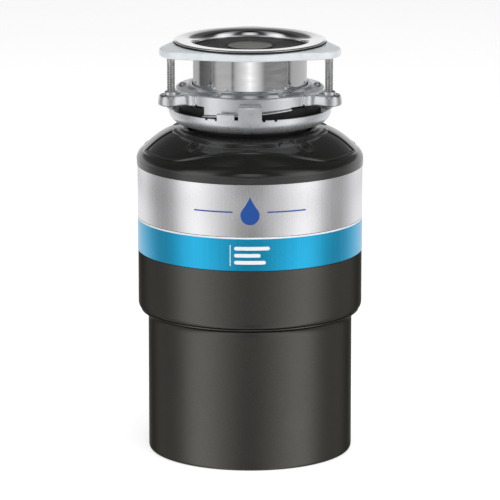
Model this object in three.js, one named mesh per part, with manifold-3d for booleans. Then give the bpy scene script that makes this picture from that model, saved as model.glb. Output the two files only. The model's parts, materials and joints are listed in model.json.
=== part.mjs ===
// A kitchen garbage disposal: motor, grind chamber and three-screw sink mount.
// Millimetres, +Z up. The origin is on the motor axis at the base; the front faces -Y.
// Angles round the axis are in degrees from the front, positive towards +X.
import * as THREE from 'three';
import { mergeVertices } from 'three/addons/utils/BufferGeometryUtils.js';
import Module from 'manifold-3d';

// ---- driving dimensions -------------------------------------------------------------------
const GAP = 0.3;                 // left between pieces that touch
const LARGE_SIDES = 24;          // facets round the large turned pieces
const PIPE_SIDES = 20;           // facets round the inlet and the outlet
const SMALL_SIDES = 12;          // facets round shafts, screws and bores
const HOLE_SIDES = 8;            // facets round the smallest holes
const SHEET = 1.8;               // drawn steel wall
const THROUGH = 800;             // length of a cutter that passes right through
const THIRDS = [0, 120, 240];    // the sink mount repeats three times
const BOLT_ANGLES = [45, 135, 225, 315];

const CAN = { r: 78.7, lipR: 72.5, edgeR: 4, flareZ: 104.8 };
const CREASE = { r: 84.4, z: 112.1 };            // the seam between can and upper shell
const SHELL = { r: 86.3, fullZ: 116.8, step: 1 };  // it steps in behind the bands
const BLUE_Z = 157.9;            // bottom of the blue band
const SILVER_Z = 184.1;          // bottom of the silver band
const COVER_Z = 224.7;           // bottom of the container cover
const BAND_R = 86.6;
const COVER_R = 87.2;
const COVER_WALL = 2.6;
const NECK_HOLE_R = 49.5;        // hole in the cover round the hopper's neck

const HOPPER = { r: 64, wall: 2.6, bottomZ: 173.3, flangeThick: 4, shoulderZ: 224, domeZ: 248 };
const NECK = { r: 43.2, wall: 3, topZ: 261.3, lipR: 51.5, lipThick: 2 };
const INLET = { r: 11, boreR: 8, z: 240, endY: 89.4, blindY: 64 };       // dishwasher inlet
const OUTLET = { r: 20, boreR: 16.5, z: 136, endY: 87, shellClear: 0.5 };  // discharge outlet
const DRAIN = { r: 76, wall: 3, floorZ: 118, floorThick: 3.5, topZ: 169, holeR: 17.4, rimR: 66 };

const SHAFT = { r: 7, footR: 6, coreR: 7.9, threadR: 5, bottomZ: 15, topZ: 175, socketR: 3.67 };
const UPPER_BEARING = { inner: 7.4, outer: 13, z: [106, 121] };
const LOWER_BEARING = { inner: 6.4, outer: 10.7, z: [22.4, 33.6] };
const SEAL_Z = [121.3, 127.3];
const SLINGER = { inner: 7.3, outer: 21, z: [131, 133.5] };
const TABLE = { r: 59.5, z: 163.5, thick: 2.5, hubR: 12, hubDrop: 6, hubRise: 0.5, holeR: 3 };
const SHREDDER = { r: 60.5, bottomZ: 158, topZ: 182, flangeR: 70, flangeThick: 1.4, slots: 15 };
const PIVOT_R = 41;              // circle of the impellers' pins
const PIN = { r: 2.9, headR: 5, tailR: 4.6, holeR: 3.3 };
const IMPELLER = { footR: 8, footThick: 3.5, reach: 15, wallX: 12, wallHeight: 11, width: 12 };

const ROTOR = { r: 34.7, boreR: 8.2, z: [47, 93] };
const END_RING = { innerR: 22, thick: 4.2, bladeR: 28, blades: 8 };  // cast on the rotor's ends
const STATOR = { r: 72, boreR: 35.3, slotR: 52, slots: 24, z: [46, 94] };
const BOLT = { circleR: 66, r: 2.5, headR: 4.6, bottomZ: 13.7, topZ: 110 };
const BELL = { r: 76.5, innerR: 72, webZ: [18, 21], topZ: 36, footZ: 3.6, hubR: 16, hubZ: 34 };
const BUTTON = { y: -47, r: 5, z: [8, 30] };     // towards the front of the base
const TERMINAL_BOX = { width: 60, depth: 38, y: 41, bottom: 5.9, wall: 2.5 };
const CABLE_X = -12;             // cable inlet in the terminal cover
const COVER_SCREW_X = 22;

const TUBE = { r: 43.65, wall: 1.25, z: 268.3 };  // the sink flange's tube
const FLANGE = { r: 58.4, thick: 0.9, topZ: 321 };
const SCREW = { r: 3.15, circleR: 69.2, z: [273.6, 312.3] };  // three quarter-inch screws
const BACKUP = { z: [312.6, 318.5], coreR: 58, earR: 23, earCircleR: 53, holeR: 48.7, wall: 2.4 };
const SINK_GASKET = { inner: 50.4, outer: 58.6, z: [318.8, 319.8] };
const RING = { r: 57.2, z: [275.8, 284.4], collarR: 46.8, collarZ: 287.3, holeR: 44.2 };
const LUG = { r: 10, rootHalf: 16, wall: 2 };
const RAMP = { r: 59.3, from: -38, to: 33, lowZ: 268.2, highZ: 274.0, lip: 1.5 };
const CUP = { r: 62.4, holeR: 47.2, bottomZ: 256.6, rimZ: 268.7 };  // lower mounting ring
const TAB = { width: 17.8, topZ: 279.9, gripR: 58.1 };
const EAR_ANGLES = [-23.7, -11];                 // the low ear to the left of each tab
const NOTCH_ANGLES = [-32, -24.2, 9.8, 18.3];    // small notches in the rim, round from each tab
const SEAT = { r: 54.4, wall: 2.6, topZ: 274.6, holeR: 13, floorThick: 2, slits: 8 };
const STOPPER = { r: 42.95, bottomZ: 309.9, topZ: 314.9, stemHoleR: 5.4 };
const KNOB = { r: 17, stemR: 5, thick: 0.9 };

// ---- geometry helpers ---------------------------------------------------------------------
const wasm = await Module();
wasm.setup();
const group = new THREE.Group();
const radians = THREE.MathUtils.degToRad;

// A solid for booleans from any closed three.js geometry.
function solid(geometry) {
  const bare = geometry.clone();
  bare.deleteAttribute('normal');
  bare.deleteAttribute('uv');
  const merged = mergeVertices(bare, 1e-4);
  return new wasm.Manifold(new wasm.Mesh({
    numProp: 3,
    vertProperties: Float32Array.from(merged.attributes.position.array),
    triVerts: Uint32Array.from(merged.index.array),
  }));
}

function geometryOf(manifold) {
  const mesh = manifold.getMesh();
  const geometry = new THREE.BufferGeometry();
  geometry.setAttribute('position', new THREE.BufferAttribute(Float32Array.from(mesh.vertProperties), 3));
  geometry.setIndex(new THREE.BufferAttribute(Uint32Array.from(mesh.triVerts), 1));
  geometry.computeVertexNormals();
  return geometry;
}

const join = (first, ...others) => others.reduce((sum, next) => sum.add(next), first);
const cut = (first, ...others) => others.reduce((rest, next) => rest.subtract(next), first);

// Turns a closed [radius, z] outline, listed in either direction, round the Z axis.
function turned(outline, sides = LARGE_SIDES) {
  const points = outline.map(([r, z]) => new THREE.Vector2(r, z));
  if (THREE.ShapeUtils.isClockWise(points)) points.reverse();
  points.push(points[0]);
  return new THREE.LatheGeometry(points, sides).rotateX(Math.PI / 2);
}

function tube(inner, outer, z0, z1, sides = LARGE_SIDES) {
  return turned([[inner, z0], [outer, z0], [outer, z1], [inner, z1]], sides);
}

function rod(r, z0, z1, sides = SMALL_SIDES) {
  return new THREE.CylinderGeometry(r, r, z1 - z0, sides).rotateX(Math.PI / 2).translate(0, 0, (z0 + z1) / 2);
}

// A cylinder along Y, for the inlet and the outlet.
function rodAlongY(r, y0, y1, z) {
  return new THREE.CylinderGeometry(r, r, y1 - y0, PIPE_SIDES).translate(0, (y0 + y1) / 2, z);
}

// A vertical cutter that passes right through the part.
function drill(r, x = 0, y = 0, sides = SMALL_SIDES) {
  return solid(rod(r, -THROUGH / 2, THROUGH / 2, sides).translate(x, y, 0));
}

function block(width, depth, height, x, y, z) {
  return new THREE.BoxGeometry(width, depth, height).translate(x, y, z + height / 2);
}

function slab(shape, z0, z1, curveSegments = 5) {
  const options = { depth: z1 - z0, bevelEnabled: false, curveSegments };
  return new THREE.ExtrudeGeometry(shape, options).translate(0, 0, z0);
}

// Points on a smooth curve from one outline point to another.
function curve(from, control, to, steps = 4) {
  const path = new THREE.QuadraticBezierCurve(...[from, control, to].map((p) => new THREE.Vector2(...p)));
  return path.getPoints(steps).map((p) => [p.x, p.y]);
}

// Bends an extruded [radius, z] section round the axis; rise lifts the far end.
function arcPiece(section, from, to, steps, rise = 0) {
  const shape = new THREE.Shape(section.map(([r, z]) => new THREE.Vector2(r, z)));
  const geometry = new THREE.ExtrudeGeometry(shape, { depth: 1, steps, bevelEnabled: false });
  const position = geometry.attributes.position;
  for (let i = 0; i < position.count; i += 1) {
    const t = 1 - position.getZ(i);
    const angle = radians(from + (to - from) * t);
    const r = position.getX(i);
    position.setXYZ(i, r * Math.sin(angle), -r * Math.cos(angle), position.getY(i) + rise * t);
  }
  return geometry;
}

const spun = (manifold, degrees) => manifold.rotate([0, 0, degrees]);

// The solid repeated round the axis.
const repeated = (manifold, angles) => angles.map((angle) => spun(manifold, angle));
const evenly = (count) => Array.from({ length: count }, (_, i) => (i * 360) / count);

function onCircle(r, degrees) {
  return [r * Math.sin(radians(degrees)), -r * Math.cos(radians(degrees))];
}

const boltHoles = (clearance) => BOLT_ANGLES.map((angle) =>
  drill(BOLT.r + clearance, ...onCircle(BOLT.circleR, angle)));

const MATERIALS = {
  paint: { color: 0x4b4845, roughness: 0.35, metalness: 0.6 },
  blue: { color: 0x22b0dc, roughness: 0.3, metalness: 0.2 },
  silver: { color: 0xc9c8cc, roughness: 0.3, metalness: 0.9 },
  cover: { color: 0x141414, roughness: 0.15, metalness: 0 },
  steel: { color: 0xc4c4c4, roughness: 0.2, metalness: 1 },
  casting: { color: 0xa9abae, roughness: 0.4, metalness: 0.8 },
  coated: { color: 0xdfe5e8, roughness: 0.5, metalness: 0.2 },
  rubber: { color: 0x1c1c1b, roughness: 0.8, metalness: 0 },
  plastic: { color: 0x2a2a2a, roughness: 0.6, metalness: 0 },
  grey: { color: 0x74746f, roughness: 0.5, metalness: 0 },
  iron: { color: 0x5b5d60, roughness: 0.5, metalness: 0.9 },
  copper: { color: 0xb06a3a, roughness: 0.4, metalness: 0.8 },
  brass: { color: 0xb9974a, roughness: 0.4, metalness: 0.9 },
  red: { color: 0xb3201c, roughness: 0.4, metalness: 0 },
};

function addPiece(name, shape, material) {
  const geometry = shape.isBufferGeometry ? shape : geometryOf(shape);
  const mesh = new THREE.Mesh(geometry, new THREE.MeshStandardMaterial(MATERIALS[material]));
  mesh.name = name;
  group.add(mesh);
}

// ---- outer shells -------------------------------------------------------------------------
// A deep-drawn can with a turned-in lip; its mouth flares out to the crease.
function motorHousing() {
  const inner = CAN.r - SHEET;
  const mouthTurn = 1.4;
  const edge = curve([CAN.r - CAN.edgeR, 0], [CAN.r, 0], [CAN.r, CAN.edgeR]);
  const flareOut = curve([CAN.r, CAN.flareZ], [CAN.r + 0.6, CAN.flareZ + 5],
    [CREASE.r, CREASE.z - mouthTurn]);
  const flareIn = curve([CREASE.r - 1.2, CREASE.z], [inner + 0.8, CREASE.z - 1.1], [inner, CAN.flareZ]);
  return turned([[CAN.lipR, 0], ...edge, ...flareOut, [CREASE.r, CREASE.z], ...flareIn,
    [inner, CAN.edgeR], [inner - 2.2, SHEET], [CAN.lipR, SHEET]]);
}

function upperShell() {
  const bottom = CREASE.z + GAP;
  const top = COVER_Z - 2 * GAP;
  const seat = SHELL.r - SHELL.step;
  const inner = seat - SHEET;
  const shoulder = curve([CREASE.r + 0.2, bottom], [SHELL.r, bottom + 1.2], [SHELL.r, SHELL.fullZ], 3);
  const shell = solid(turned([[inner - 0.9, bottom], ...shoulder, [SHELL.r, BLUE_Z], [seat, BLUE_Z],
    [seat, top], [inner, top], [inner, SHELL.fullZ]]));
  return cut(shell, solid(rodAlongY(OUTLET.r + OUTLET.shellClear, DRAIN.r - 16, THROUGH, OUTLET.z)));
}

function band(z0, z1) {
  return tube(SHELL.r - SHELL.step + GAP, BAND_R, z0, z1);
}

// The cover's skin from its foot over the shoulder to the neck, set in by a depth.
function coverOutline(inset) {
  const shoulder = [[COVER_R, 229.4], [85.6, 234], [80.6, 238.1], [75.9, 242.3], [70.7, 246.4],
    [64.4, 250.6], [58, 252.6], [NECK_HOLE_R, 253.8]];
  const wallDrop = 0.3;            // how much of the inset shows as height on the upright wall
  const slopeDrop = 0.9;           // and on the slope
  return shoulder.map(([r, z]) =>
    [Math.max(r - inset, NECK_HOLE_R), z - inset * (r < COVER_R ? slopeDrop : wallDrop)]);
}

function containerCover() {
  const outside = [[COVER_R, COVER_Z], ...coverOutline(0)];
  const inside = [...coverOutline(COVER_WALL).reverse(), [COVER_R - COVER_WALL, COVER_Z]];
  const inletHole = rodAlongY(INLET.r + 2 * GAP, HOPPER.r - 24, THROUGH, INLET.z);
  return cut(solid(turned([...outside, ...inside])), solid(inletHole));
}

// ---- grind chamber ------------------------------------------------------------------------
function hopper() {
  const outer = HOPPER.r + HOPPER.wall;
  const neckOuter = NECK.r + NECK.wall;
  const flangeR = DRAIN.r - 0.5;
  const flangeTop = HOPPER.bottomZ + HOPPER.flangeThick;
  const dome = curve([outer, HOPPER.shoulderZ], [outer, HOPPER.shoulderZ + 16], [neckOuter, HOPPER.domeZ]);
  const outside = [[HOPPER.r, HOPPER.bottomZ], [flangeR, HOPPER.bottomZ], [flangeR, flangeTop],
    [outer, flangeTop], ...dome, [neckOuter, NECK.topZ - NECK.lipThick],
    [NECK.lipR, NECK.topZ - NECK.lipThick], [NECK.lipR, NECK.topZ], [NECK.r, NECK.topZ]];
  const inside = curve([NECK.r, HOPPER.domeZ - 2.5], [HOPPER.r, HOPPER.domeZ - 10],
    [HOPPER.r, HOPPER.shoulderZ - 1]);
  const chamber = solid(turned([...inside, [HOPPER.r, HOPPER.bottomZ - 1], [1, HOPPER.bottomZ - 1],
    [1, NECK.topZ + 1], [NECK.r, NECK.topZ + 1]]));
  const inlet = cut(solid(rodAlongY(INLET.r, NECK.r + 13, INLET.endY, INLET.z)), chamber);
  const inletBore = solid(rodAlongY(INLET.boreR, INLET.blindY, THROUGH, INLET.z));
  return cut(join(solid(turned([...outside, ...inside])), inlet), inletBore);
}

function hopperGasket() {
  return tube(HOPPER.r + 0.5, DRAIN.r - 1, DRAIN.topZ + 2, HOPPER.bottomZ - GAP);
}

// The stationary ring that the turntable grinds against; its slots let fine waste through.
function shredderRing() {
  const outer = HOPPER.r - 2 * GAP;
  const flangeBottom = DRAIN.topZ + GAP;
  const body = join(solid(tube(SHREDDER.r, outer, SHREDDER.bottomZ, SHREDDER.topZ)),
    solid(tube(SHREDDER.r, SHREDDER.flangeR, flangeBottom, flangeBottom + SHREDDER.flangeThick)));
  const slot = solid(block(4, 8, 8, 0, -SHREDDER.r - 1.5, SHREDDER.bottomZ + 1.5));
  return cut(body, ...repeated(slot, evenly(SHREDDER.slots)));
}

function turntable() {
  const hub = solid(rod(TABLE.hubR, TABLE.z - TABLE.hubDrop, TABLE.z + TABLE.hubRise));
  const plate = solid(rod(TABLE.r, TABLE.z, TABLE.z + TABLE.thick, LARGE_SIDES));
  const drainHoles = [[27, 45], [27, 90], [44, 90]].map(([r, angle]) =>
    spun(drill(TABLE.holeR, r, 0, HOLE_SIDES), angle));
  const pinHole = drill(PIN.holeR, PIVOT_R, 0);
  const half = [pinHole, ...drainHoles];
  return cut(join(plate, hub), drill(SHAFT.threadR + GAP), ...half, ...half.map((hole) => spun(hole, 180)));
}

const impellerZ = TABLE.z + TABLE.thick + GAP;

function impeller(degrees) {
  const foot = new THREE.Shape();
  const side = IMPELLER.width / 2;
  foot.absarc(0, 0, IMPELLER.footR, Math.PI / 2, -Math.PI / 2, false);
  foot.lineTo(IMPELLER.reach - 2, -side).lineTo(IMPELLER.reach, 0).lineTo(IMPELLER.reach - 2, side);
  foot.closePath();
  const base = solid(slab(foot, impellerZ, impellerZ + IMPELLER.footThick, 6));
  const wall = solid(block(3, IMPELLER.width, IMPELLER.wallHeight, IMPELLER.wallX, 0, impellerZ));
  return cut(join(base, wall), drill(PIN.holeR)).translate([PIVOT_R, 0, 0]).rotate([0, 0, degrees]);
}

function impellerPin(degrees) {
  const top = impellerZ + IMPELLER.footThick;
  const tailBottom = TABLE.z - 2.6;
  const shank = solid(rod(PIN.r, tailBottom + 0.4, top + 1));
  const head = solid(rod(PIN.headR, top + GAP, top + 2.2));
  const tail = solid(rod(PIN.tailR, tailBottom, TABLE.z - GAP));
  return join(shank, head, tail).translate([PIVOT_R, 0, 0]).rotate([0, 0, degrees]);
}

function turntableNut() {
  const bottom = TABLE.z + TABLE.thick + 1;
  return cut(solid(rod(9.5, bottom, bottom + 6, 6)), drill(SHAFT.threadR + GAP));
}

function drainChamber() {
  const inner = DRAIN.r - DRAIN.wall;
  const floor = DRAIN.floorZ + DRAIN.floorThick;
  const foot = CREASE.z + 3 * GAP;
  const ceiling = DRAIN.topZ - DRAIN.wall;
  const bowl = solid(turned([[DRAIN.holeR, DRAIN.floorZ], [inner, DRAIN.floorZ], [inner, foot],
    [DRAIN.r, foot], [DRAIN.r, DRAIN.topZ], [DRAIN.rimR, DRAIN.topZ], [DRAIN.rimR, ceiling],
    [inner, ceiling], [inner, floor], [DRAIN.holeR, floor]]));
  const cavity = solid(rod(inner, foot - 10, ceiling - 1, LARGE_SIDES));
  const outlet = cut(solid(rodAlongY(OUTLET.r, inner - 2, OUTLET.endY, OUTLET.z)), cavity);
  const bore = solid(rodAlongY(OUTLET.boreR, DRAIN.rimR - 26, THROUGH, OUTLET.z));
  const keptFloor = solid(rod(DRAIN.rimR - 6, foot, floor));
  return cut(join(bowl, outlet), bore.subtract(keptFloor));
}

// ---- motor --------------------------------------------------------------------------------
function upperEndFrame() {
  const seatR = 13.3;              // bearing and seal sit in this bore
  const hubR = 17;
  const [footZ, plateZ, topZ, hubZ] = [99, 108, CREASE.z + 0.5, 129];
  const lipThick = 1.4;
  const body = solid(turned([[seatR, plateZ - 4], [hubR + 1, plateZ - 4], [hubR + 1, plateZ],
    [DRAIN.r - DRAIN.wall, plateZ], [DRAIN.r - DRAIN.wall, footZ], [DRAIN.r, footZ], [DRAIN.r, topZ],
    [hubR, topZ], [hubR, hubZ], [SHAFT.coreR - 0.1, hubZ], [SHAFT.coreR - 0.1, hubZ - lipThick],
    [seatR, hubZ - lipThick]]));
  const bosses = BOLT_ANGLES.map((angle) =>
    solid(rod(6, footZ, plateZ + 1, HOLE_SIDES).translate(...onCircle(BOLT.circleR, angle), 0)));
  const boltHole = rod(BOLT.r + 0.4, footZ - 1, BOLT.topZ + 1);
  const holes = BOLT_ANGLES.map((angle) =>
    solid(boltHole.clone().translate(...onCircle(BOLT.circleR, angle), 0)));
  return cut(join(body, ...bosses), ...holes);
}

const bush = ({ inner, outer }, [bottom, top]) => tube(inner, outer, bottom, top, SMALL_SIDES);

function statorCore() {
  const shape = new THREE.Shape();
  shape.absarc(0, 0, STATOR.r, 0, Math.PI * 2, false);
  const mouthHalf = 2;             // degrees to either side of a slot's middle
  const rootHalf = 2.6;
  const bore = evenly(STATOR.slots).flatMap((middle) => [
    [STATOR.boreR, middle - mouthHalf], [STATOR.slotR, middle - rootHalf],
    [STATOR.slotR, middle + rootHalf], [STATOR.boreR, middle + mouthHalf]]);
  shape.holes.push(new THREE.Path(bore.map(([r, angle]) => new THREE.Vector2(...onCircle(r, angle)))));
  BOLT_ANGLES.forEach((angle) => shape.holes.push(
    new THREE.Path().absarc(...onCircle(BOLT.circleR, angle), BOLT.r + 0.5, 0, Math.PI * 2, true)));
  return slab(shape, ...STATOR.z, 6);
}

// The end turns of the winding, a rounded ring on the core's face.
function windingEnd(z0, z1) {
  const middle = (z0 + z1) / 2;
  const [inner, outer, bulge] = [39, 53, 3];
  return turned([[inner, z0], [outer, z0], [outer + bulge, middle], [outer, z1], [inner, z1],
    [inner - bulge / 2, middle]]);
}

function throughBolt(angle) {
  const head = solid(rod(BOLT.headR, BOLT.bottomZ, BELL.webZ[0] - GAP, 6));
  const shank = solid(rod(BOLT.r, BOLT.bottomZ + 1, BOLT.topZ));
  return join(head, shank).translate([...onCircle(BOLT.circleR, angle), 0]);
}

// Its foot has a hexagon socket, for turning a jammed rotor by hand.
function motorShaft() {
  const [coreBottom, coreTop] = [ROTOR.z[0] - 2, ROTOR.z[1] + 2];
  const threadZ = TABLE.z - TABLE.hubDrop - 0.5;
  const body = solid(turned([[0, SHAFT.bottomZ], [SHAFT.footR, SHAFT.bottomZ], [SHAFT.footR, coreBottom],
    [SHAFT.coreR, coreBottom], [SHAFT.coreR, coreTop], [SHAFT.r, coreTop], [SHAFT.r, threadZ],
    [SHAFT.threadR, threadZ], [SHAFT.threadR, SHAFT.topZ], [0, SHAFT.topZ]], SMALL_SIDES));
  return cut(body, solid(rod(SHAFT.socketR, SHAFT.bottomZ - 1, SHAFT.bottomZ + 9, 6)));
}

// A cast end ring of the cage, with its fan blades.
function endRing(bottom, bladeBottom) {
  const bladeHeight = 3;
  const ring = solid(tube(END_RING.innerR, ROTOR.r - 1.2, bottom, bottom + END_RING.thick));
  const blade = solid(block(1.6, 9, bladeHeight, 0, -END_RING.bladeR, bladeBottom));
  return join(ring, ...repeated(blade, evenly(END_RING.blades)));
}

function lowerEndBell() {
  const [web, top] = BELL.webZ;
  const bearingR = 11;             // seat of the lower bearing
  const guideR = 7.5;              // hole for the shaft's foot
  const seatZ = 22;
  const dish = solid(turned([[bearingR, seatZ], [bearingR, BELL.hubZ], [BELL.hubR, BELL.hubZ],
    [BELL.hubR, top], [BELL.innerR, top], [BELL.innerR, BELL.topZ], [BELL.r, BELL.topZ],
    [BELL.r, BELL.footZ + SHEET], [BELL.r - 2.5, BELL.footZ], [BELL.innerR - 0.2, BELL.footZ],
    [BELL.innerR - 0.2, web], [BELL.hubR - 1, web], [BELL.hubR - 1, 10], [guideR, 10], [guideR, seatZ]]));
  const { width, depth, y, bottom, wall } = TERMINAL_BOX;
  const box = cut(solid(block(width, depth, web + 1 - bottom, 0, y, bottom)),
    solid(block(width - 2 * wall, depth - 2 * wall, web - bottom + 1, 0, y, bottom - 1)));
  const post = solid(rod(5, bottom, web + 1).translate(COVER_SCREW_X, y, 0));
  const screwHole = solid(rod(2.4, 0, web - 1).translate(COVER_SCREW_X, y, 0));
  return cut(join(dish, box, post), screwHole, drill(BUTTON.r + 0.5, 0, BUTTON.y), ...boltHoles(0.5));
}

const terminalCoverZ = TERMINAL_BOX.bottom - GAP - 1.6;

function terminalCover() {
  const { width, depth, y } = TERMINAL_BOX;
  const plate = solid(block(width, depth, 1.6, 0, y, terminalCoverZ));
  return cut(plate, drill(9.6, CABLE_X, y), drill(2.4, COVER_SCREW_X, y));
}

function terminalCoverScrew() {
  const headZ = terminalCoverZ - 1.8;
  const screw = join(solid(rod(4, headZ, headZ + 1.5)), solid(rod(1.9, headZ + 1, headZ + 10.8)));
  const slot = solid(block(1, 10, 0.9, 0, 0, headZ - 0.3));
  return cut(screw, slot).translate([COVER_SCREW_X, TERMINAL_BOX.y, 0]);
}

// The bush that the supply cable passes through.
function cableInlet() {
  const [boreR, bodyR, lipR] = [6.5, 9, 12];
  const [lipZ, seatZ, top] = [2.3, 3.7, 13];
  return turned([[boreR, lipZ], [lipR, lipZ], [lipR, seatZ], [bodyR, seatZ], [bodyR, top], [boreR, top]],
    SMALL_SIDES).translate(CABLE_X, TERMINAL_BOX.y, 0);
}

function overloadProtector() {
  const body = solid(rod(11, BELL.webZ[1] + GAP, BELL.hubZ));
  const pocket = solid(rod(BUTTON.r + 0.4, BUTTON.z[0], BUTTON.z[1] + 1));
  return cut(body, pocket).translate([0, BUTTON.y, 0]);
}

function resetButton() {
  const [low, high] = BUTTON.z;
  const chamfer = 0.8;
  return turned([[0, low], [BUTTON.r - chamfer, low], [BUTTON.r, low + chamfer], [BUTTON.r, high], [0, high]],
    SMALL_SIDES).translate(0, BUTTON.y, 0);
}

function startSwitch() {
  const z = BELL.webZ[1] + GAP;
  const y = 8;
  return join(solid(block(22, 26, 11, -34, y, z)), solid(block(9, 6, 2, -20, y, z + 7)));
}

// The sleeve that the centrifugal weights push down on the start switch's lever.
function centrifugalActuator() {
  const boreR = SHAFT.footR + 0.5;
  const sleeveR = 9;
  const rimR = 20;
  const [rimZ, boreZ, rimTop, top] = [36, 37, 37.6, 39.5];
  return turned([[boreR, boreZ], [sleeveR, boreZ], [sleeveR, rimZ], [rimR, rimZ], [rimR, rimTop],
    [sleeveR + 1.5, top], [boreR, top]], SMALL_SIDES);
}

// ---- sink mount ---------------------------------------------------------------------------
// Rubber seat on the hopper's neck; its floor is the splash baffle, slit into flaps.
function mountingGasket() {
  const floor = NECK.topZ + GAP;
  const wallR = SEAT.r - SEAT.wall;
  const bead = { inner: 41.5, outer: 48.5, z: TUBE.z - GAP };
  const body = solid(turned([[SEAT.holeR, floor], [SEAT.r, floor], [SEAT.r, SEAT.topZ], [wallR, SEAT.topZ],
    [wallR, floor + 2.8], [bead.outer + 1.5, floor + 2.8], [bead.outer, bead.z], [bead.inner, bead.z],
    [bead.inner - 1, floor + SEAT.floorThick], [SEAT.holeR, floor + SEAT.floorThick]]));
  const slit = spun(solid(block(1.4, 28, 12, 0, -25, floor - 6)), 180 / SEAT.slits);
  return cut(body, ...repeated(slit, evenly(SEAT.slits)));
}

function lowerMountingRing() {
  const { bottomZ: bottom, rimZ: rim } = CUP;
  const inner = CUP.r - SHEET;
  const floorR = 52;
  const outside = curve([floorR, bottom], [CUP.r - 1.6, bottom + 1.6], [CUP.r, bottom + 9]);
  const inside = curve([inner, bottom + 9], [CUP.r - 3, bottom + 3.2], [floorR, bottom + SHEET]);
  const cup = solid(turned([[CUP.holeR, bottom], ...outside, [CUP.r, rim], [inner, rim], ...inside,
    [CUP.holeR, bottom + SHEET]]));
  const root = bottom + 8;
  const halfTab = THREE.MathUtils.radToDeg(TAB.width / 2 / CUP.r);
  const catchZ = [274.6, 274.8, 276.2, 276.4];   // the stop bead that the ramp runs under
  const hook = [[inner, root], [CUP.r, root], [CUP.r, TAB.topZ - 1], [CUP.r - 1, TAB.topZ],
    [TAB.gripR, TAB.topZ], [TAB.gripR, TAB.topZ - SHEET], [inner, TAB.topZ - SHEET],
    [inner, catchZ[3]], [TAB.gripR - 0.2, catchZ[2]], [TAB.gripR - 0.2, catchZ[1]], [inner, catchZ[0]]];
  const tab = solid(arcPiece(hook, -halfTab, halfTab, 4));
  const earTop = rim + 4.6;
  const earSection = [[inner, root], [CUP.r, root], [CUP.r, earTop], [inner, earTop]];
  const ear = solid(arcPiece(earSection, ...EAR_ANGLES, 3));
  const notches = NOTCH_ANGLES.map((angle) =>
    spun(solid(rodAlongY(1.3, -CUP.r - 2, -CUP.r + 4, rim)), angle));
  return cut(join(cup, ...repeated(tab, THIRDS), ...repeated(ear, THIRDS)),
    ...notches.flatMap((notch) => repeated(notch, THIRDS)));
}

// Outline of a lug that reaches out along -Y; inset shrinks it for the hollow underneath.
function lugShape(inset) {
  const shape = new THREE.Shape();
  const r = LUG.r - inset;
  const root = LUG.rootHalf - inset;
  const [inside, shoulder, waist] = [-50, -56 + inset / 2, -63];
  shape.moveTo(-root, inside).lineTo(-root, shoulder).lineTo(-r, waist);
  shape.absarc(0, -SCREW.circleR, r, Math.PI, Math.PI * 2, false);
  shape.lineTo(r, waist).lineTo(root, shoulder).lineTo(root, inside).closePath();
  return shape;
}

function mountingRing() {
  const [low, high] = RING.z;
  const inner = RING.r - SHEET;
  const topThick = 2.6;
  const collar = solid(turned([[RING.holeR, high - 1.4], [RING.holeR + 1.8, high - 1.4],
    [inner, high - topThick], [inner, low], [RING.r, low], [RING.r, high - 0.8], [RING.r - 1, high],
    [50, high + 1], [RING.collarR, RING.collarZ], [RING.holeR, RING.collarZ]]));
  const inside = solid(rod(inner, low - 5, high - 2.8, LARGE_SIDES));
  const lugHollow = solid(slab(lugShape(LUG.wall), low - 1, high - topThick));
  const lug = cut(solid(slab(lugShape(0), low, high)), lugHollow, inside);
  const threadBoss = solid(rod(5.2, low, high + topThick).translate(0, -SCREW.circleR, 0));
  // a skirt hangs below the wall, and its sloping foot is the ramp
  const skirtTop = 13;
  const track = [[inner, 0], [RAMP.r, 0], [RAMP.r, RAMP.lip], [RING.r, RAMP.lip], [RING.r, skirtTop],
    [inner, skirtTop]].map(([r, z]) => [r, z + RAMP.lowZ]);
  const aboveSkirt = solid(tube(inner - 5, RAMP.r + 6, high - 3.4, high + 16));
  const ramp = cut(solid(arcPiece(track, RAMP.from, RAMP.to, 6, RAMP.highZ - RAMP.lowZ)), aboveSkirt);
  const bump = solid(rod(2.9, high - 1, high + 2.4, HOLE_SIDES).translate(0, -52.4, 0));
  const third = [ramp, spun(bump, -28), spun(bump, 28), spun(join(lug, threadBoss), 60)];
  const threadHoles = repeated(spun(drill(SCREW.r + 0.35, 0, -SCREW.circleR), 60), THIRDS);
  return cut(join(collar, ...third.flatMap((piece) => repeated(piece, THIRDS))), ...threadHoles,
    drill(RING.holeR, 0, 0, LARGE_SIDES));
}

// A split square-wire ring that holds the mounting ring up on the tube.
function snapRing() {
  const wire = 2.2;
  const inner = TUBE.r + 0.5;
  const bottom = 280.3;
  const ring = solid(tube(inner, inner + wire, bottom, bottom + wire));
  return cut(ring, solid(block(5, 8, 3 * wire, 0, TUBE.r + 2, bottom - wire)));
}

function sinkFlange() {
  const inner = TUBE.r - TUBE.wall;
  const { r, thick, topZ } = FLANGE;
  const underside = topZ - thick;
  const seatR = STOPPER.r + 0.55;    // the throat narrows to this where the stopper sits
  const throatIn = curve([46.6, topZ - 0.3], [seatR + 0.1, topZ - 0.4], [seatR, topZ - 6]);
  const throatOut = curve([TUBE.r, topZ - 14], [TUBE.r + 1, underside - 2.1], [49.6, underside], 5);
  return turned([[inner, TUBE.z], [TUBE.r, TUBE.z], ...throatOut, [r, underside], [r, topZ - 0.5],
    [r - 1.4, topZ], [49.5, topZ], ...throatIn, [inner, topZ - 13]]);
}

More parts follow.
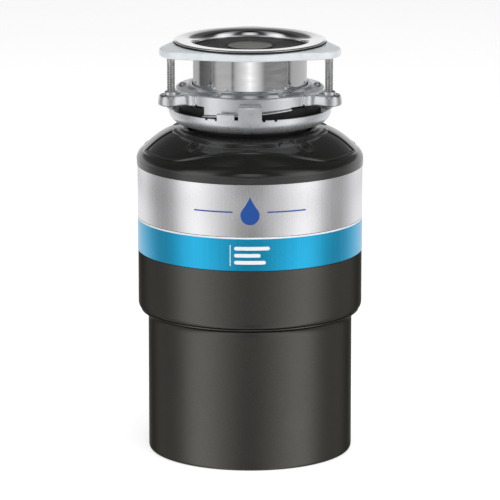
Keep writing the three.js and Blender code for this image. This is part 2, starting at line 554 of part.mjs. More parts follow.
// Outline of three broad ears; straight sides run from each to the front, tangent to the core circle.
function backupShape(inset) {
  const shape = new THREE.Shape();
  const tangent = Math.acos((BACKUP.coreR - BACKUP.earR) / BACKUP.earCircleR);
  for (const turn of THIRDS) {
    const middle = radians(turn - 30);
    const centre = [BACKUP.earCircleR * Math.cos(middle), BACKUP.earCircleR * Math.sin(middle)];
    shape.absarc(...centre, BACKUP.earR - inset, middle - tangent, middle + tangent, false);
    shape.absarc(0, 0, BACKUP.coreR - inset, middle + tangent, middle + radians(120) - tangent, false);
  }
  shape.closePath();
  return shape;
}

// A plate with a shallow hollow underneath, solid round the hole and the screws' tips.
function backupRing() {
  const [low, high] = BACKUP.z;
  const tipPad = solid(rod(5.6, low - 2, high).translate(0, -SCREW.circleR, 0));
  const floorThick = 2.6;
  const hollow = cut(solid(slab(backupShape(BACKUP.wall), low - 1, high - floorThick)),
    solid(tube(20, 51.5, low - 2, high)), ...repeated(spun(tipPad, 60), THIRDS));
  return cut(solid(slab(backupShape(0), low, high, 6)), hollow, drill(BACKUP.holeR, 0, 0, LARGE_SIDES));
}

function clampScrew(degrees) {
  const [low, high] = SCREW.z;
  const { r } = SCREW;
  const body = solid(turned([[0, low], [r - 0.5, low], [r, low + 0.5], [r, high - 1.5], [r - 1, high],
    [0, high]], 16));
  const slot = solid(block(1, 10, 2.5, 0, 0, low - 1));
  return cut(body, slot).translate([...onCircle(SCREW.circleR, degrees), 0]);
}

function stopperDisc() {
  const { r, bottomZ, topZ, stemHoleR } = STOPPER;
  return turned([[stemHoleR, bottomZ], [r - 4, bottomZ], [r - 1.1, bottomZ + 2], [r, topZ - 1.1],
    [r - 0.4, topZ], [stemHoleR, topZ]]);
}

function stopperKnob() {
  const low = STOPPER.topZ + GAP;
  const high = low + KNOB.thick;
  const bottom = STOPPER.bottomZ - 1.5;
  return turned([[0, bottom], [KNOB.stemR, bottom], [KNOB.stemR, low], [KNOB.r - 0.4, low],
    [KNOB.r, low + 0.3], [KNOB.r - 0.6, high], [0, high]]);
}

// ---- the assembly -------------------------------------------------------------------------
addPiece('motor_housing', motorHousing(), 'paint');
addPiece('upper_shell', upperShell(), 'paint');
addPiece('blue_band', band(BLUE_Z + GAP, SILVER_Z), 'blue');
addPiece('silver_band', band(SILVER_Z + GAP, COVER_Z - GAP), 'silver');
addPiece('container_cover', containerCover(), 'cover');
addPiece('hopper', hopper(), 'plastic');
addPiece('hopper_gasket', hopperGasket(), 'rubber');
addPiece('shredder_ring', shredderRing(), 'steel');
addPiece('drain_chamber', drainChamber(), 'plastic');
addPiece('upper_end_frame', upperEndFrame(), 'casting');
addPiece('upper_bearing', bush(UPPER_BEARING, UPPER_BEARING.z), 'brass');
addPiece('shaft_seal', bush(UPPER_BEARING, SEAL_Z), 'rubber');
addPiece('stator_core', statorCore(), 'iron');
addPiece('upper_winding', windingEnd(STATOR.z[1] + 0.5, STATOR.z[1] + 10), 'copper');
addPiece('lower_winding', windingEnd(STATOR.z[0] - 10, STATOR.z[0] - 0.5), 'copper');
BOLT_ANGLES.forEach((angle, i) => addPiece(`through_bolt_${i + 1}`, throughBolt(angle), 'steel'));
addPiece('lower_end_bell', lowerEndBell(), 'casting');
addPiece('lower_bearing', bush(LOWER_BEARING, LOWER_BEARING.z), 'brass');
addPiece('terminal_cover', terminalCover(), 'steel');
addPiece('terminal_cover_screw', terminalCoverScrew(), 'steel');
addPiece('cable_inlet', cableInlet(), 'plastic');
addPiece('overload_protector', overloadProtector(), 'plastic');
addPiece('start_switch', startSwitch(), 'plastic');
addPiece('mounting_gasket', mountingGasket(), 'rubber');

addPiece('motor_shaft', motorShaft(), 'steel');
addPiece('rotor_core', tube(ROTOR.boreR, ROTOR.r, ...ROTOR.z), 'iron');
addPiece('lower_end_ring', endRing(ROTOR.z[0] - GAP - END_RING.thick, ROTOR.z[0] - 6.8), 'casting');
addPiece('upper_end_ring', endRing(ROTOR.z[1] + GAP, ROTOR.z[1] + 4), 'casting');
addPiece('slinger', bush(SLINGER, SLINGER.z), 'rubber');
addPiece('turntable', turntable(), 'steel');
addPiece('turntable_nut', turntableNut(), 'steel');
[0, 180].forEach((angle, i) => {
  addPiece(`impeller_pin_${i + 1}`, impellerPin(angle), 'steel');
  addPiece(`impeller_${i + 1}`, impeller(angle), 'steel');
});
addPiece('centrifugal_actuator', centrifugalActuator(), 'plastic');
addPiece('reset_button', resetButton(), 'red');

addPiece('lower_mounting_ring', lowerMountingRing(), 'coated');
addPiece('mounting_ring', mountingRing(), 'casting');
addPiece('snap_ring', snapRing(), 'steel');
addPiece('sink_flange', sinkFlange(), 'steel');
addPiece('backup_ring', backupRing(), 'coated');
addPiece('sink_gasket', tube(SINK_GASKET.inner, SINK_GASKET.outer, ...SINK_GASKET.z), 'rubber');
[['left', -60], ['right', 60], ['rear', 180]].forEach(([side, angle]) =>
  addPiece(`clamp_screw_${side}`, clampScrew(angle), 'steel'));
addPiece('stopper_disc', stopperDisc(), 'rubber');
addPiece('stopper_knob', stopperKnob(), 'grey');

export default group;
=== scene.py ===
"""Looks of a kitchen garbage disposal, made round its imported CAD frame.

Outlines are given in millimetres and turned into metres as a mesh is made. +Z is up and the
front faces -Y. Angles round the axis count from the front, positive towards +X.
"""

import json
import math

import bmesh
import bpy
import numpy as np
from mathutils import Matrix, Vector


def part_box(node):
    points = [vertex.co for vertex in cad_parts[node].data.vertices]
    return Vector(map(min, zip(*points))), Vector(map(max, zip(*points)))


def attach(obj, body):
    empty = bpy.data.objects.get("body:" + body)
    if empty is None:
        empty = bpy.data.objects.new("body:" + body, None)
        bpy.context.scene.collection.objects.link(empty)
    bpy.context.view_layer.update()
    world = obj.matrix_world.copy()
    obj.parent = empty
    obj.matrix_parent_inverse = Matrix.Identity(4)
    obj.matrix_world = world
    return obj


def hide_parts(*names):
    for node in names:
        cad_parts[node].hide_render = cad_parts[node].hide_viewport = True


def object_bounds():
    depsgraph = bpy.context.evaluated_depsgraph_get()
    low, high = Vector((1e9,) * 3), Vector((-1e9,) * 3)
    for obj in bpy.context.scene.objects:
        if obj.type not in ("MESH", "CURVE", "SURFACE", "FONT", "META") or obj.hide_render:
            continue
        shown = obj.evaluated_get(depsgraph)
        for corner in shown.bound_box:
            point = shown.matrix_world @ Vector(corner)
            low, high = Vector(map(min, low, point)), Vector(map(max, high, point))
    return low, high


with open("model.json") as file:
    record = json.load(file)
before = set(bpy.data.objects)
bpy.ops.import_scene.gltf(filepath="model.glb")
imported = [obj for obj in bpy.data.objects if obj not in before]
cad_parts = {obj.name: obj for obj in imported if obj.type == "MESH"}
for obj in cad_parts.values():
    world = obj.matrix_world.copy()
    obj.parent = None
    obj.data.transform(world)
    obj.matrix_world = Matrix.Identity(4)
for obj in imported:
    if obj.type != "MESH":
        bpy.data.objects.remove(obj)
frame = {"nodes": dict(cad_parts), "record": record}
cad_low, cad_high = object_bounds()

MM = 0.001
ROUND = 240          # steps round the large turned pieces
PLAIN_ROUND = 144    # steps round the pieces that mostly stay hidden
SHARP = 38           # degrees; an edge that turns more than this stays a crease
THIRDS = (0, 120, 240)


def reach(node):
    """(outer radius or half width, bottom, top) of a CAD node, in millimetres."""
    low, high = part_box(node)
    return high.x / MM, low.z / MM, high.z / MM


can_r_flare, can_bottom, can_top = reach("motor_housing")
shell_r, shell_bottom, shell_top = reach("upper_shell")
band_r, blue_bottom, blue_top = reach("blue_band")
_, silver_bottom, silver_top = reach("silver_band")
cover_r, cover_bottom, cover_top = reach("container_cover")
cup_r, cup_bottom, tab_top = reach("lower_mounting_ring")
flange_r, tube_bottom, flange_top = reach("sink_flange")
gasket_r, gasket_bottom, gasket_top = reach("sink_gasket")
_, backup_bottom, backup_top = reach("backup_ring")
_, _, ring_head = reach("mounting_ring")
stopper_r, stopper_bottom, stopper_top = reach("stopper_disc")
knob_r, knob_bottom, knob_top = reach("stopper_knob")
seat_r, seat_bottom, seat_top = reach("mounting_gasket")

CAN_R = can_r_flare - 5.7        # the lower can, below its flare
SCREW_CIRCLE_R = 69.2
SCREW_R = 3.15
SCREW_PITCH = 1.27
TUBE_R = 43.65
RING_R = 57.2                    # the mounting ring's wall
RING_WALL = 1.8
RING_LOW, RING_HIGH = 275.8, 284.4
RAMP_R = 59.3
NECK_R = 43.2
OUTLET_HEIGHT = 136
OUTLET_BORE_R = 16.5
INLET_HEIGHT = 240


# ---- mesh helpers -------------------------------------------------------------------------
def radians(degrees):
    return degrees * math.pi / 180


def on_circle(r, degrees):
    return r * math.sin(radians(degrees)), -r * math.cos(radians(degrees))


def crease(obj, degrees=SHARP):
    """Smooth shading, but for the edges that turn more than an angle."""
    obj.data.shade_smooth()
    obj.data.set_sharp_from_angle(angle=radians(degrees))


def make(name, vertices, faces, sharp=SHARP):
    """A mesh object from vertices in millimetres, smooth but for edges over the sharp angle."""
    mesh = bpy.data.meshes.new(name)
    mesh.from_pydata((np.asarray(vertices, float) * MM).tolist(), [], faces)
    work = bmesh.new()
    work.from_mesh(mesh)
    bmesh.ops.remove_doubles(work, verts=work.verts, dist=1e-7)
    bmesh.ops.recalc_face_normals(work, faces=work.faces)
    work.to_mesh(mesh)
    work.free()
    obj = bpy.data.objects.new(name, mesh)
    bpy.context.scene.collection.objects.link(obj)
    crease(obj, sharp)
    return obj


def finish_piece(obj, body, slot, node, material=None):
    """Gives a piece its body and the look of its record slot or another, and hides the CAD node it stands in
    for.
    """
    obj.data.materials.clear()
    obj.data.materials.append(material or LOOKS[slot])
    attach(obj, body)
    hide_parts(node)


def grid_faces(rows, columns, close_rows=False, close_columns=False):
    """Quads between the points of a grid, row by row."""
    faces = []
    for i in range(rows if close_rows else rows - 1):
        here, there = i * columns, ((i + 1) % rows) * columns
        for j in range(columns if close_columns else columns - 1):
            k = (j + 1) % columns
            faces.append((here + j, here + k, there + k, there + j))
    return faces


def rounded(outline, steps=5):
    """Rounds the corners of a closed outline: a point may carry a fillet radius as a third value."""
    points = []
    count = len(outline)
    for i, corner in enumerate(outline):
        here = np.array(corner[:2], float)
        if len(corner) < 3:
            points.append(here)
            continue
        back = np.array(outline[i - 1][:2], float) - here
        ahead = np.array(outline[(i + 1) % count][:2], float) - here
        room = min(np.linalg.norm(back), np.linalg.norm(ahead)) * 0.49
        back /= np.linalg.norm(back)
        ahead /= np.linalg.norm(ahead)
        half = math.acos(max(-1.0, min(1.0, float(back @ ahead)))) / 2
        cut = min(corner[2] / math.tan(half), room)
        start, end = here + back * cut, here + ahead * cut
        for t in np.linspace(0, 1, steps + 1):
            points.append((1 - t) ** 2 * start + 2 * t * (1 - t) * here + t * t * end)
    return points


def arc_curve(start, control, end, steps):
    """Points on a smooth curve from start to end, pulled towards control."""
    start, control, end = (np.array(p, float) for p in (start, control, end))
    return [tuple((1 - t) ** 2 * start + 2 * t * (1 - t) * control + t * t * end)
            for t in np.linspace(0, 1, steps + 1)]


def turned(name, outline, steps=ROUND, centre=(0, 0), sharp=SHARP):
    """A closed [radius, z] outline turned round a vertical axis."""
    outline = np.array([p[:2] for p in outline], float)
    angles = np.linspace(0, 2 * math.pi, steps, endpoint=False)
    r = np.maximum(outline[:, 0], 0)
    vertices = np.stack([centre[0] + np.outer(np.sin(angles), r), centre[1] - np.outer(np.cos(angles), r),
                         np.tile(outline[:, 1], (steps, 1))], axis=-1)
    return make(name, vertices.reshape(-1, 3), grid_faces(steps, len(outline), True, True), sharp)


def arc_piece(name, section, start, end, steps, rise=0.0):
    """A closed [radius, z] section swept round the axis from one angle to another."""
    section = np.array([p[:2] for p in section], float)
    rows = []
    for t in np.linspace(0, 1, steps + 1):
        angle = radians(start + (end - start) * t)
        rows.append([(r * math.sin(angle), -r * math.cos(angle), z + rise * t) for r, z in section])
    count = len(section)
    faces = grid_faces(steps + 1, count, False, True)
    faces.append(tuple(range(count)))
    faces.append(tuple(range(steps * count, (steps + 1) * count)))
    return make(name, np.array(rows).reshape(-1, 3), faces)


def prism(name, outline, low, high):
    """An [x, y] outline raised from one height to another."""
    count = len(outline)
    vertices = [(x, y, z) for z in (low, high) for x, y in outline]
    faces = grid_faces(2, count, False, True) + [tuple(range(count)), tuple(range(count, 2 * count))]
    return make(name, vertices, faces)


def spin(obj, degrees):
    """A copy of an object turned round the axis."""
    copy = bpy.data.objects.new(obj.name, obj.data.copy())
    bpy.context.scene.collection.objects.link(copy)
    co = np.zeros(len(copy.data.vertices) * 3)
    copy.data.vertices.foreach_get("co", co)
    co = co.reshape(-1, 3)
    a = radians(degrees)
    x = co[:, 0] * math.cos(a) - co[:, 1] * math.sin(a)
    co[:, 1] = co[:, 0] * math.sin(a) + co[:, 1] * math.cos(a)
    co[:, 0] = x
    copy.data.vertices.foreach_set("co", co.ravel())
    return copy


def merged(name, objects):
    """One object from several, whose meshes may pass through each other."""
    work = bmesh.new()
    for obj in objects:
        work.from_mesh(obj.data)
    mesh = bpy.data.meshes.new(name)
    work.to_mesh(mesh)
    work.free()
    for obj in objects:
        discard(obj)
    result = bpy.data.objects.new(name, mesh)
    bpy.context.scene.collection.objects.link(result)
    return result


def discard(obj):
    mesh = obj.data
    bpy.data.objects.remove(obj)
    bpy.data.meshes.remove(mesh)


def apply_modifiers(obj):
    depsgraph = bpy.context.evaluated_depsgraph_get()
    mesh = bpy.data.meshes.new_from_object(obj.evaluated_get(depsgraph))
    obj.modifiers.clear()
    old = obj.data
    obj.data = mesh
    bpy.data.meshes.remove(old)


def cut_away(obj, cutter):
    """Takes the cutter's volume out of the object."""
    boolean = obj.modifiers.new("cut", "BOOLEAN")
    boolean.operation = "DIFFERENCE"
    boolean.solver = "EXACT"
    boolean.object = cutter
    apply_modifiers(obj)
    discard(cutter)


def cast(obj, voxel, passes):
    """Fuses overlapping shells into one skin with the soft edges of a casting."""
    remesh = obj.modifiers.new("fuse", "REMESH")
    remesh.mode = "VOXEL"
    remesh.voxel_size = voxel * MM
    soften = obj.modifiers.new("soften", "SMOOTH")
    soften.factor = 0.5
    soften.iterations = passes
    apply_modifiers(obj)
    obj.data.shade_smooth()


# ---- materials ----------------------------------------------------------------------------
class Nodes:
    """A material under construction, with the few node kinds that these looks need."""

    def __init__(self, name, color, roughness, metallic=0.0, **sockets):
        self.material = bpy.data.materials.new(name)
        self.material.use_nodes = True
        self.tree = self.material.node_tree
        self.shader = self.tree.nodes["Principled BSDF"]
        self.put("Base Color", (*color, 1))
        self.put("Roughness", roughness)
        self.put("Metallic", metallic)
        for key, value in sockets.items():
            self.put(key.replace("_", " "), value)
        self.place = self.tree.nodes.new("ShaderNodeTexCoord").outputs["Object"]

    def put(self, socket, value):
        self.shader.inputs[socket].default_value = value

    def link(self, source, socket):
        self.tree.links.new(source, self.shader.inputs[socket])

    def stretched(self, scale):
        node = self.tree.nodes.new("ShaderNodeMapping")
        node.inputs["Scale"].default_value = scale
        self.tree.links.new(self.place, node.inputs["Vector"])
        return node.outputs["Vector"]

    def noise(self, scale, detail, stretch=None):
        node = self.tree.nodes.new("ShaderNodeTexNoise")
        node.inputs["Scale"].default_value = scale
        node.inputs["Detail"].default_value = detail
        self.tree.links.new(self.stretched(stretch) if stretch else self.place, node.inputs["Vector"])
        return node.outputs["Fac"]

    def ramp(self, source, *stops):
        """Maps 0..1 between two (position, grey or colour) stops."""
        node = self.tree.nodes.new("ShaderNodeValToRGB")
        for element, (position, value) in zip(node.color_ramp.elements, stops):
            element.position = position
            element.color = (*value, 1) if isinstance(value, tuple) else (value, value, value, 1)
        self.tree.links.new(source, node.inputs["Fac"])
        return node.outputs["Color"]

    def vary(self, socket, scale, detail, low, high, stretch=None):
        """Lets noise carry a socket between two values."""
        self.link(self.ramp(self.noise(scale, detail, stretch), (0.3, low), (0.7, high)), socket)

    def bump(self, height, strength, distance):
        node = self.tree.nodes.new("ShaderNodeBump")
        node.inputs["Strength"].default_value = strength
        node.inputs["Distance"].default_value = distance
        self.tree.links.new(height, node.inputs["Height"])
        self.link(node.outputs["Normal"], "Normal")


def can_paint():
    look = Nodes("can_paint", (0.115, 0.111, 0.102), 0.32, 1.0, Specular_Tint=(0.25, 0.25, 0.25, 1))
    look.vary("Base Color", 2600, 2, (0.096, 0.093, 0.085), (0.136, 0.131, 0.120))
    look.vary("Roughness", 35, 3, 0.30, 0.35)
    look.bump(look.noise(900, 2), 0.08, 0.0002)
    return look.material


def blue_label():
    look = Nodes("blue_label", (0.010, 0.44, 0.76), 0.30, 0.85, Coat_Weight=0.3, Coat_Roughness=0.12)
    look.vary("Base Color", 1.0, 4, (0.008, 0.42, 0.74), (0.013, 0.47, 0.80), stretch=(900, 900, 6))
    look.vary("Roughness", 30, 3, 0.27, 0.33)
    return look.material


def silver_label():
    look = Nodes("silver_label", (0.88, 0.87, 0.89), 0.27, 1.0)
    streak = look.noise(1.0, 5, stretch=(1400, 1400, 5))
    look.link(look.ramp(streak, (0.3, (0.84, 0.83, 0.85)), (0.7, (0.91, 0.90, 0.92))), "Base Color")
    look.link(look.ramp(streak, (0.3, 0.24), (0.7, 0.31)), "Roughness")
    look.bump(streak, 0.05, 0.0001)
    return look.material


def cover_gloss():
    look = Nodes("cover_gloss", (0.013, 0.013, 0.012), 0.14, 0.0, IOR=1.7)
    look.vary("Roughness", 60, 4, 0.09, 0.15)
    look.bump(look.noise(700, 3), 0.04, 0.0001)
    return look.material


def flange_steel():
    look = Nodes("flange_steel", (0.78, 0.78, 0.79), 0.10, 1.0)
    look.vary("Roughness", 50, 4, 0.04, 0.08, stretch=(1, 1, 6))
    look.vary("Base Color", 12, 3, (0.71, 0.71, 0.72), (0.77, 0.77, 0.78))
    return look.material


def coated_metal(name, color):
    look = Nodes(name, color, 0.42, 0.25, Coat_Weight=0.15, Coat_Roughness=0.3)
    dim = tuple(c * 0.93 for c in color)
    look.link(look.ramp(look.noise(140, 5), (0.35, dim), (0.65, color)), "Base Color")
    look.vary("Roughness", 90, 3, 0.36, 0.50)
    look.bump(look.noise(1500, 3), 0.12, 0.0002)
    return look.material


def cast_metal():
    look = Nodes("cast_metal", (0.69, 0.70, 0.72), 0.24, 1.0)
    look.vary("Base Color", 120, 5, (0.67, 0.68, 0.70), (0.72, 0.73, 0.75))
    look.vary("Roughness", 200, 4, 0.26, 0.34)
    return look.material


def plated_steel():
    look = Nodes("plated_steel", (0.74, 0.755, 0.78), 0.30, 0.8)
    look.vary("Base Color", 90, 4, (0.69, 0.705, 0.73), (0.75, 0.765, 0.79))
    look.vary("Roughness", 260, 4, 0.25, 0.36)
    return look.material


def screw_steel():
    look = Nodes("screw_steel", (0.58, 0.58, 0.58), 0.28, 1.0)
    look.vary("Base Color", 400, 4, (0.48, 0.48, 0.47), (0.66, 0.66, 0.66))
    look.vary("Roughness", 700, 3, 0.22, 0.38)
    return look.material


def grind_steel():
    look = Nodes("grind_steel", (0.62, 0.62, 0.63), 0.3, 1.0)
    look.vary("Roughness", 260, 5, 0.22, 0.42)
    look.vary("Base Color", 40, 4, (0.55, 0.55, 0.56), (0.68, 0.68, 0.69))
    return look.material


def rubber(name, shade):
    look = Nodes(name, (shade, shade, shade * 0.95), 0.6, 0.0)
    look.vary("Roughness", 300, 4, 0.5, 0.72)
    look.vary("Base Color", 25, 4, (shade * 0.8,) * 3, (shade * 1.25,) * 3)
    look.bump(look.noise(1800, 3), 0.25, 0.0002)
    return look.material


def plain_plastic(name, color, roughness):
    look = Nodes(name, color, roughness, 0.0)
    dim = tuple(c * 0.85 for c in color)
    look.vary("Base Color", 80, 4, dim, color)
    look.vary("Roughness", 220, 3, roughness - 0.06, roughness + 0.08)
    look.bump(look.noise(1400, 3), 0.15, 0.0002)
    return look.material


def inner_metal(name, color, roughness):
    look = Nodes(name, color, roughness, 0.9)
    dim = tuple(c * 0.75 for c in color)
    look.vary("Base Color", 1.0, 4, dim, color, stretch=(60, 60, 900))
    look.vary("Roughness", 300, 4, roughness - 0.08, roughness + 0.1)
    return look.material


LOOKS = {
    "can_paint": can_paint(),
    "blue_label": blue_label(),
    "silver_label": silver_label(),
    "cover_gloss": cover_gloss(),
    "flange_steel": flange_steel(),
    "coated_metal": coated_metal("coated_metal", (0.84, 0.88, 0.91)),
    "plated_steel": plated_steel(),
    "cast_metal": cast_metal(),
    "screw_steel": screw_steel(),
    "grind_steel": grind_steel(),
    "black_rubber": rubber("black_rubber", 0.012),
    "stopper_rubber": rubber("stopper_rubber", 0.036),
    "knob_grey": plain_plastic("knob_grey", (0.13, 0.13, 0.12), 0.42),
    "black_plastic": plain_plastic("black_plastic", (0.022, 0.022, 0.022), 0.5),
    "button_red": plain_plastic("button_red", (0.55, 0.02, 0.015), 0.3),
    "core_iron": inner_metal("core_iron", (0.20, 0.20, 0.21), 0.5),
    "copper": inner_metal("copper", (0.60, 0.27, 0.12), 0.35),
    "bronze": inner_metal("bronze", (0.52, 0.38, 0.18), 0.4),
}


def dress_frame():
    """Every CAD node gets the look of its record slot; the visible ones are replaced below."""
    for row in frame["record"]["subparts"]:
        mesh = frame["nodes"][row["node"]].data
        mesh.materials.clear()
        mesh.materials.append(LOOKS[row["material_slot"]])


# ---- body -----------------------------------------------------------------------------------
def motor_housing():
    """The lower can: a thin drawn wall, flared at its top under the upper shell."""
    wall = 1.8
    foot_r = 72.5
    flare_start = can_top - 7.3
    lip = (can_r_flare - 0.9, can_top - 1.5)
    outline = rounded([(foot_r, can_bottom), (CAN_R, can_bottom, 4), (CAN_R, flare_start - 1)])
    outline += arc_curve((CAN_R, flare_start), (CAN_R + 0.5, flare_start + 5.2), lip, 12)
    outline += rounded([lip, (can_r_flare, can_top - 0.9, 0.5), (can_r_flare - 0.3, can_top, 0.3),
                        (can_r_flare - 1.4, can_top)])
    outline += arc_curve((can_r_flare - 1.6, can_top), (CAN_R - 1, can_top - 1),
                         (CAN_R - wall, flare_start), 8)
    outline += [(CAN_R - wall, 4), (CAN_R - 4, wall), (foot_r, wall)]
    finish_piece(turned("lower_can", outline), "disposer", "can_paint", "motor_housing")


def upper_shell():
    """The upper shell: full width below, stepped in behind the bands, with a hole for the outlet."""
    step = band_r - 1.3
    inner = step - 1.8
    outline = [(inner - 0.9, shell_bottom), (can_r_flare - 0.6, shell_bottom)]
    outline += arc_curve((can_r_flare - 0.2, shell_bottom), (shell_r, shell_bottom + 1.0),
                         (shell_r, shell_bottom + 5), 10)
    outline += rounded([(shell_r, shell_bottom + 8), (shell_r, blue_bottom - 0.3, 0.25),
                        (step, blue_bottom - 0.3), (step, shell_top), (inner, shell_top)])
    outline += [(inner, shell_bottom + 5)]
    obj = turned("upper_shell_skin", outline)
    hole_r = 20.6
    cutter = turned("outlet_hole", [(0, 60), (hole_r, 60), (hole_r, 100), (0, 100)], 64)
    lay_along_y(cutter, OUTLET_HEIGHT)
    cut_away(obj, cutter)
    crease(obj)
    finish_piece(obj, "disposer", "can_paint", "upper_shell")


def lay_along_y(obj, height):
    """Turns a piece made along Z so that it lies along +Y at a height."""
    for vertex in obj.data.vertices:
        x, y, z = vertex.co
        vertex.co = (x, z, height * MM - y)
    if mesh_volume(obj.data) < 0:
        obj.data.flip_normals()
    obj.data.update()


def mesh_volume(mesh):
    work = bmesh.new()
    work.from_mesh(mesh)
    volume = work.calc_volume(signed=True)
    work.free()
    return volume


def white_line_print():
    look = Nodes("white_print", (0.86, 0.88, 0.89), 0.3, 0.0)
    look.vary("Base Color", 60, 3, (0.82, 0.84, 0.85), (0.88, 0.90, 0.91))
    return look.material


def bands():
    """The blue wrap, the white line printed along its top, and the silver wrap."""
    inner = band_r - 0.9
    line_low = blue_top - 1.3
    outline = rounded([(inner, blue_bottom), (band_r, blue_bottom, 0.2), (band_r, line_low),
                       (inner, line_low)], 3)
    finish_piece(turned("blue_wrap", outline), "disposer", "blue_label", "blue_band")
    outline = rounded([(inner, line_low), (band_r, line_low), (band_r, blue_top, 0.2), (inner, blue_top)], 3)
    finish_piece(turned("white_line", outline), "disposer", "blue_label", "blue_band", WHITE_PRINT)
    outline = rounded([(inner, silver_bottom), (band_r, silver_bottom, 0.2), (band_r, silver_top, 0.2),
                       (inner, silver_top)], 3)
    finish_piece(turned("silver_wrap", outline), "disposer", "silver_label", "silver_band")


def mark(name, rows, place, slot, node, material=None, columns=24):
    """A raised flat mark from (up, left, right) rows; place puts a point on the surface it lies on."""
    vertices = []
    for up, left, right in rows:
        across = np.linspace(left, right, columns + 1)
        vertices += [place(u, up, True) for u in across] + [place(u, up, False) for u in across[::-1]]
    count = 2 * (columns + 1)
    faces = grid_faces(len(rows), count, False, True)
    faces += [tuple(range(count)), tuple(range((len(rows) - 1) * count, len(rows) * count))]
    finish_piece(make(name, vertices, faces), "disposer", slot, node, material)


def on_band(height):
    """Places a mark's points on the bands: 0.05 mm proud outside, and just under the skin inside."""
    def place(across, up, outside):
        r = band_r + (0.05 if outside else -0.1)
        return r * math.sin(across / band_r), -r * math.cos(across / band_r), height + up
    return place


def drop_rows(r, height, steps=36):
    """A water drop: a round foot of radius r that draws up to a point."""
    touch = r * r / height
    rows = []
    for up in -r * np.cos(np.linspace(0.06, math.pi - math.acos(r / height), steps)):
        rows.append((up, -math.sqrt(r * r - up * up), math.sqrt(r * r - up * up)))
    for t in np.linspace(0, 0.99, steps)[1:]:
        half = math.sqrt(r * r - touch * touch) * (1 - t) ** 1.2
        rows.append((touch + (height - touch) * t, -half, half))
    return rows


def bar_rows(left, right, half, steps=10):
    """A level bar with round ends."""
    rows = []
    for a in np.linspace(-math.pi / 2 + 0.1, math.pi / 2 - 0.1, steps):
        back = half * (1 - math.cos(a))
        rows.append((half * math.sin(a), left + back, right - back))
    return rows


def print_ink(name, color):
    look = Nodes(name, color, 0.32, 0.15)
    dim = tuple(c * 0.9 for c in color)
    look.vary("Base Color", 80, 3, dim, color)
    return look.material


def generic_prints():
    """Plain marks where a label has its print: a drop and two rules on the silver, bars on the blue."""
    ink = print_ink("blue_ink", (0.010, 0.085, 0.38))
    middle = (silver_bottom + silver_top) / 2
    mark("drop_mark", drop_rows(7.2, 14.5), on_band(middle - 3.5), "silver_label", "silver_band", ink)
    for side, left, right in (("left", -44, -13), ("right", 13, 44)):
        mark(f"rule_mark_{side}", bar_rows(left, right, 0.55), on_band(middle - 1), "silver_label",
             "silver_band", ink, 60)
    middle = (blue_bottom + blue_top) / 2 - 1
    mark("upright_mark", [(-8, -15.3, -14.7), (8, -15.3, -14.7)], on_band(middle), "blue_label",
         "blue_band", WHITE_PRINT, 2)
    bar_left, bar_gap = -12, 5.4
    for i, length in enumerate((27, 20, 24)):
        mark(f"bar_mark_{i + 1}", bar_rows(bar_left, bar_left + length, 1.4),
             on_band(middle + bar_gap - bar_gap * i), "blue_label", "blue_band", WHITE_PRINT, 40)


# ---- container cover -------------------------------------------------------------------------
def smooth_step(x):
    x = np.clip(x, 0, 1)
    return x * x * (3 - 2 * x)


def cover_relief(degrees, r):
    """How far the cover's skin stands off its plain shape, in millimetres, at an angle and radius."""
    side = np.abs((degrees + 180) % 360 - 180)       # the angle from the front
    fold = np.minimum(side, 180 - side)              # the angle from the front or the back
    across = r * np.sin(np.radians(degrees))
    back = -r * np.cos(np.radians(degrees))
    bead_r = 71.3 + 10.2 * smooth_step((fold - 8) / 44)
    notch = np.exp(-(((degrees - 25.8) / 5.2) ** 4))
    collar_r = 65 - 5 * smooth_step((fold - 15) / 45) - 3.6 * notch
    # one panel sunk between the collar and the outer bead on the front half, and one on the back
    panel = smooth_step((r - collar_r - 0.5) / 0.9) * smooth_step((bead_r - r) / 0.9)
    panel = panel * smooth_step((79 - fold) / 2)
    relief = -0.8 * panel
    relief += 0.7 * smooth_step((collar_r - r) / 0.7) * smooth_step((84 - fold) / 4)
    bead = np.exp(-(((r - bead_r - 0.6) / 0.75) ** 2)) * smooth_step((82 - fold) / 3)
    relief += 0.75 * bead
    # a ring round each of four places on the slope, and a small plate at the front
    for centre in (-39, 39, 141, -141):
        x, y = on_circle(69, centre)
        distance = np.hypot(across - x, back - y)
        relief += 0.35 * np.exp(-(((distance - 4.9) / 0.6) ** 2))
    edge = 0.4
    plate = smooth_step((5.6 - np.abs(across)) / edge) * smooth_step((r - 65.6) / edge)
    plate = plate * smooth_step((70.4 - r) / edge)
    relief += 0.3 * plate * (side < 90)
    return relief


